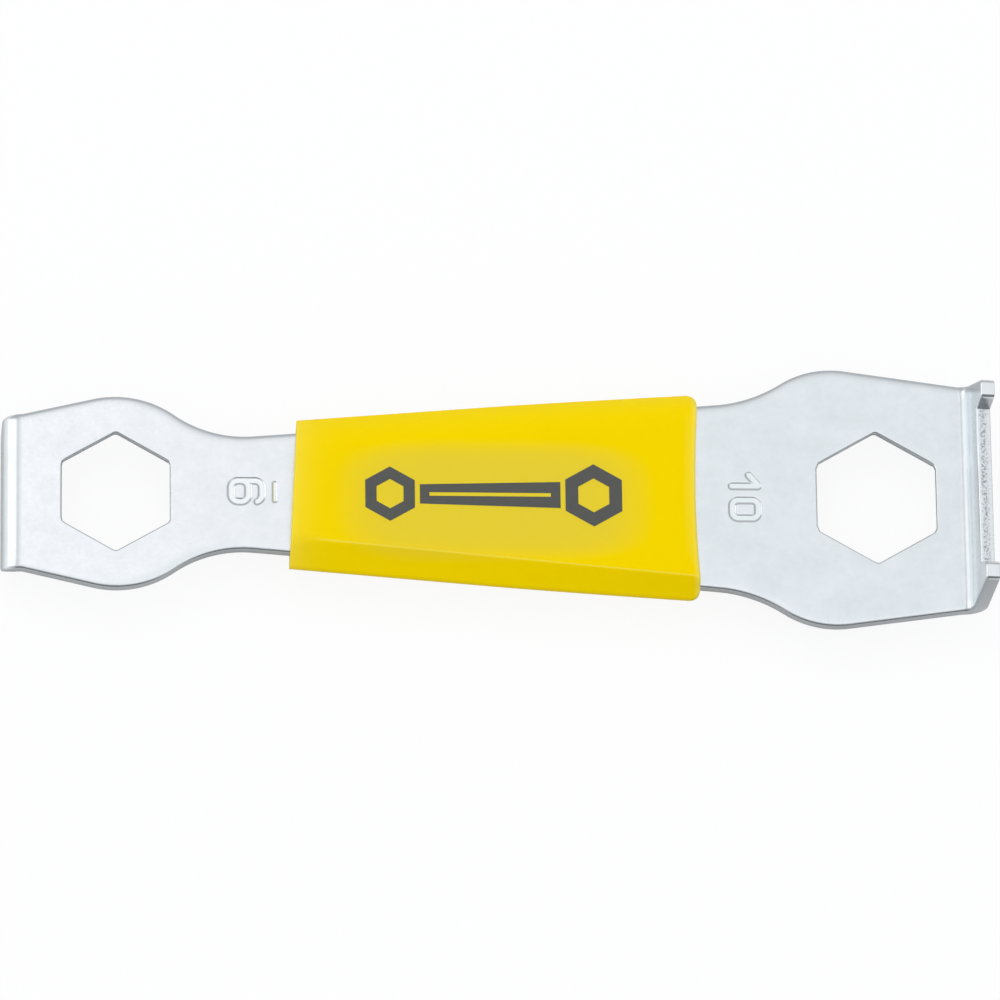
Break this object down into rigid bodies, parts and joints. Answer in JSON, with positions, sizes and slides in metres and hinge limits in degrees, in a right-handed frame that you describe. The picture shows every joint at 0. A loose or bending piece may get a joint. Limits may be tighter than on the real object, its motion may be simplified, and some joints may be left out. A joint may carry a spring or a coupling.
{
  "type": "chainring nut wrench",
  "caption": "Flat sheet-steel wrench with a hexagon ring in each end, a bent working edge, a two-prong nut driver and a tapered vinyl grip sleeve.",
  "frame": {"origin": "middle of the wrench's length and width, level with the tip of the bent working edge", "axes": "+X along the wrench towards the wide two-prong end, +Z the way the prongs point, square to the flat of the blade"},
  "size_m": [0.0832, 0.0226, 0.0091],
  "materials": {
    "plated_steel": "bright satin plating",
    "yellow_vinyl": "soft satin vinyl"
  },
  "bodies": {
    "root": {"steel_blade": "plated_steel", "grip_sleeve": "yellow_vinyl"}
  },
  "joints": []
}
